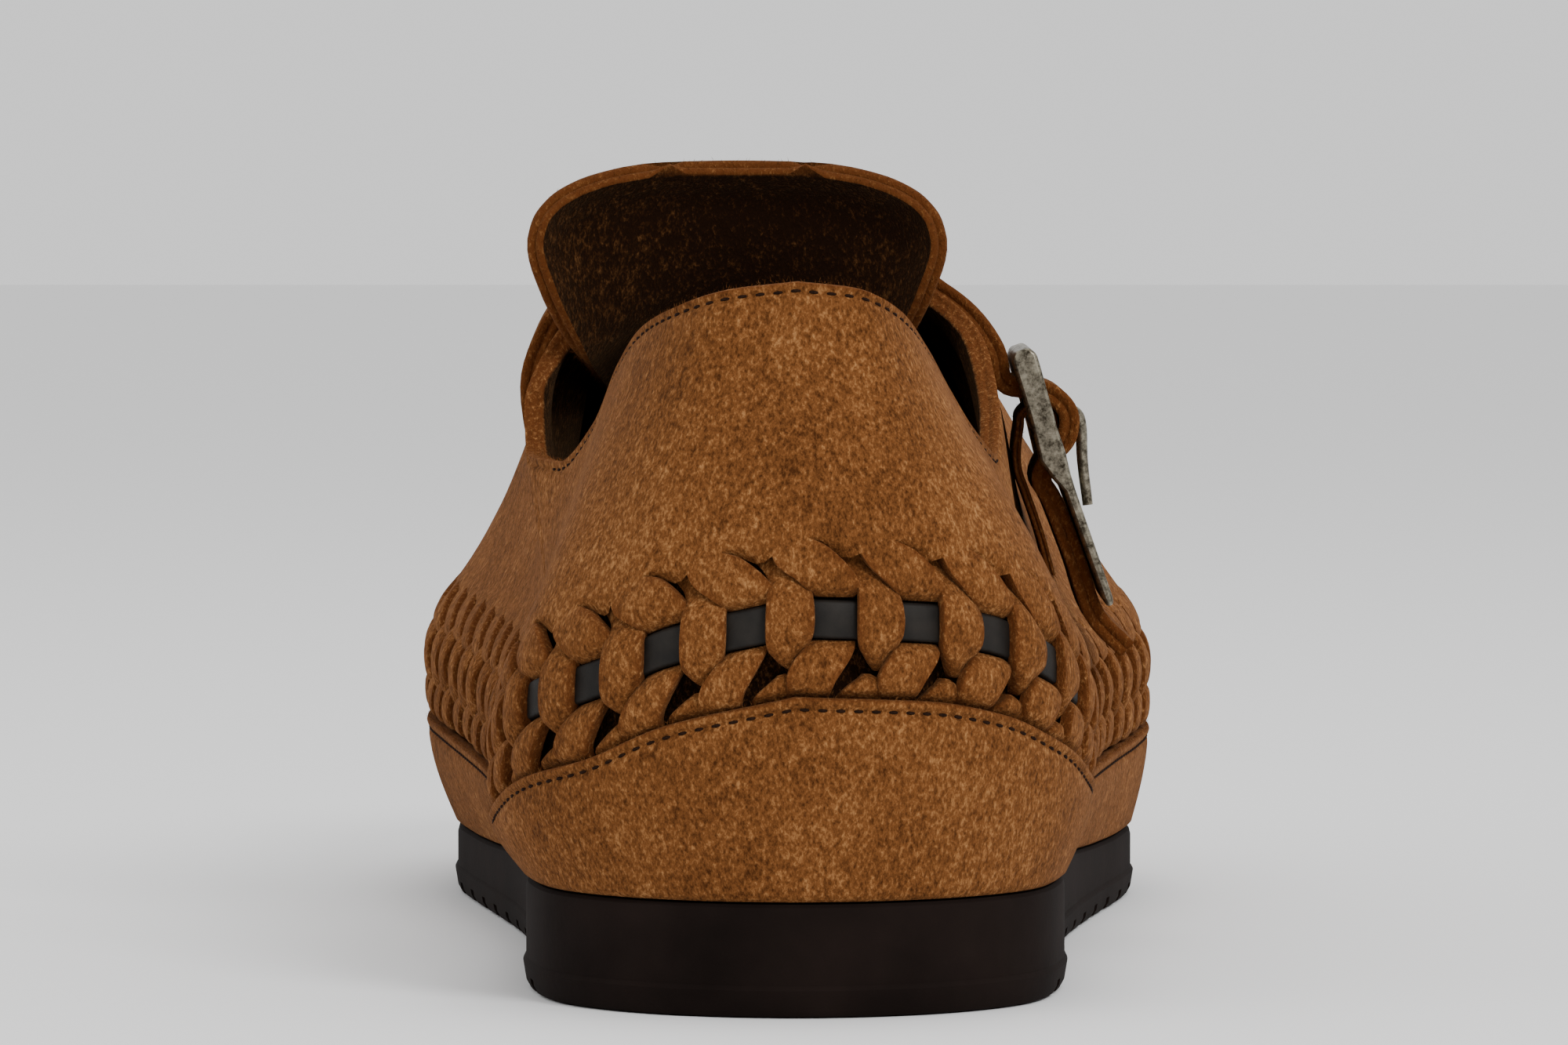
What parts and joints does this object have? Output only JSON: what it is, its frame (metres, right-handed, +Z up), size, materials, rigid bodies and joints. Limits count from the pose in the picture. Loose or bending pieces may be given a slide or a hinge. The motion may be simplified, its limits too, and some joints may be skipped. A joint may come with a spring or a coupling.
{
  "type": "suede clog, right shoe",
  "caption": "Closed-back suede clog with a laced-strip braid all round, a tall tongue, an instep strap with a buckle and a dark moulded sole.",
  "frame": {"origin": "on the floor under the middle of the heel", "axes": "+Y points to the toe, +X to the outer side of the right foot, +Z up"},
  "size_m": [0.107, 0.279, 0.1079],
  "materials": {
    "eva_dark": "matte",
    "suede_wrap": "napped suede",
    "insole_suede": "napped suede",
    "suede_tan": "napped suede",
    "lace_rubber": "matte",
    "tongue_suede": "napped suede",
    "strap_suede": "napped suede",
    "anchor_suede": "napped suede",
    "bronze": "antique, brushed",
    "prong_bronze": "antique, brushed"
  },
  "bodies": {
    "root": {"outsole": "eva_dark", "footbed_wrap": "suede_wrap", "insole": "insole_suede", "upper": "suede_tan", "braid_lace": "lace_rubber", "tongue": "tongue_suede", "instep_strap": "strap_suede", "anchor_strap": "anchor_suede", "buckle_frame": "bronze", "buckle_prong": "prong_bronze"}
  },
  "joints": []
}
